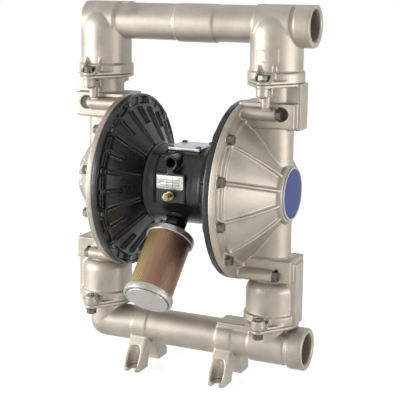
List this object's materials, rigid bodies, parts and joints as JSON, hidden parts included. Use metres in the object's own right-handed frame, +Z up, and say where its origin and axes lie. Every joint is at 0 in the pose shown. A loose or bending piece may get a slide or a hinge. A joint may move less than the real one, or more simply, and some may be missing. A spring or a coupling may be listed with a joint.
{
  "type": "air operated diaphragm pump",
  "caption": "Air operated double diaphragm pump with cast stainless fluid covers, ball check valves, a black air section and an exhaust muffler.",
  "frame": {"origin": "on the floor under the middle of the pump, between the four feet", "axes": "+Z up, +X along the shaft and out of both ports, -Y to the side with the muffler"},
  "size_m": [0.4902, 0.3749, 0.7302],
  "materials": {
    "cast_stainless": "satin",
    "black_paint": "satin",
    "zinc_bolts": "satin",
    "steel": "satin",
    "cast_aluminium": "satin",
    "black_rubber": "matte",
    "ball_rubber": "matte",
    "white_plastic": "matte",
    "dark_plastic": "satin",
    "badge_blue": "gloss",
    "plate_foil": "satin",
    "yellow_zinc_mesh": "satin",
    "zinc_caps": "satin",
    "felt": "matte",
    "brass": "satin"
  },
  "bodies": {
    "pump_body": {"air_cover_left": "black_paint", "air_cover_right": "black_paint", "air_cover_screws": "zinc_bolts", "badge_left": "badge_blue", "badge_right": "badge_blue", "centre_housing": "black_paint", "earth_screw": "brass", "earth_washer": "brass", "exhaust_fitting": "black_paint", "fluid_cover_left": "cast_stainless", "fluid_cover_right": "cast_stainless", "inlet_flange_bolts": "zinc_bolts", "inlet_manifold": "cast_stainless", "inlet_seat_rings": "white_plastic", "inlet_valve_seats": "steel", "muffler_bottom_cap": "zinc_caps", "muffler_element": "felt", "muffler_top_cap": "zinc_caps", "muffler_tube": "yellow_zinc_mesh", "nameplate": "plate_foil", "nameplate_rivets": "cast_aluminium", "outlet_flange_bolts": "zinc_bolts", "outlet_manifold": "cast_stainless", "outlet_seat_rings": "white_plastic", "outlet_valve_seats": "steel", "pilot_pin_bushes": "white_plastic", "rim_bolts": "zinc_bolts", "shaft_bushes": "white_plastic", "shaft_seals": "black_rubber", "tower_bolts": "zinc_bolts", "valve_cover": "cast_aluminium", "valve_cover_screws": "zinc_bolts", "valve_gasket": "black_rubber", "valve_plate": "white_plastic"},
    "shaft_set": {"diaphragm_shaft": "steel", "air_plate_left": "cast_aluminium", "air_plate_right": "cast_aluminium", "fluid_plate_left": "steel", "fluid_plate_right": "steel", "diaphragm_left": "black_rubber", "diaphragm_right": "black_rubber"},
    "inlet_ball_left_body": {"inlet_ball_left": "ball_rubber"},
    "inlet_ball_right_body": {"inlet_ball_right": "ball_rubber"},
    "outlet_ball_left_body": {"outlet_ball_left": "ball_rubber"},
    "outlet_ball_right_body": {"outlet_ball_right": "ball_rubber"},
    "air_valve": {"air_valve_spool": "dark_plastic"},
    "left_pilot": {"pilot_pin_left": "steel"},
    "right_pilot": {"pilot_pin_right": "steel"}
  },
  "joints": [
    {"name": "shaft_stroke", "type": "slide", "parent": "pump_body", "child": "shaft_set", "axis": [1, 0, 0], "range_m": [-0.023, 0.023], "deforming": ["diaphragm_left", "diaphragm_right"]},
    {"name": "inlet_ball_left_lift", "type": "slide", "parent": "pump_body", "child": "inlet_ball_left_body", "axis": [0, 0, 1], "range_m": [0, 0.012]},
    {"name": "inlet_ball_right_lift", "type": "slide", "parent": "pump_body", "child": "inlet_ball_right_body", "axis": [0, 0, 1], "range_m": [0, 0.012]},
    {"name": "outlet_ball_left_lift", "type": "slide", "parent": "pump_body", "child": "outlet_ball_left_body", "axis": [0, 0, 1], "range_m": [0, 0.012]},
    {"name": "outlet_ball_right_lift", "type": "slide", "parent": "pump_body", "child": "outlet_ball_right_body", "axis": [0, 0, 1], "range_m": [0, 0.012]},
    {"name": "air_valve_shift", "type": "slide", "parent": "pump_body", "child": "air_valve", "axis": [1, 0, 0], "range_m": [-0.007, 0.007]},
    {"name": "left_pilot_push", "type": "slide", "parent": "pump_body", "child": "left_pilot", "axis": [1, 0, 0], "range_m": [0, 0.003]},
    {"name": "right_pilot_push", "type": "slide", "parent": "pump_body", "child": "right_pilot", "axis": [-1, 0, 0], "range_m": [0, 0.003]}
  ]
}
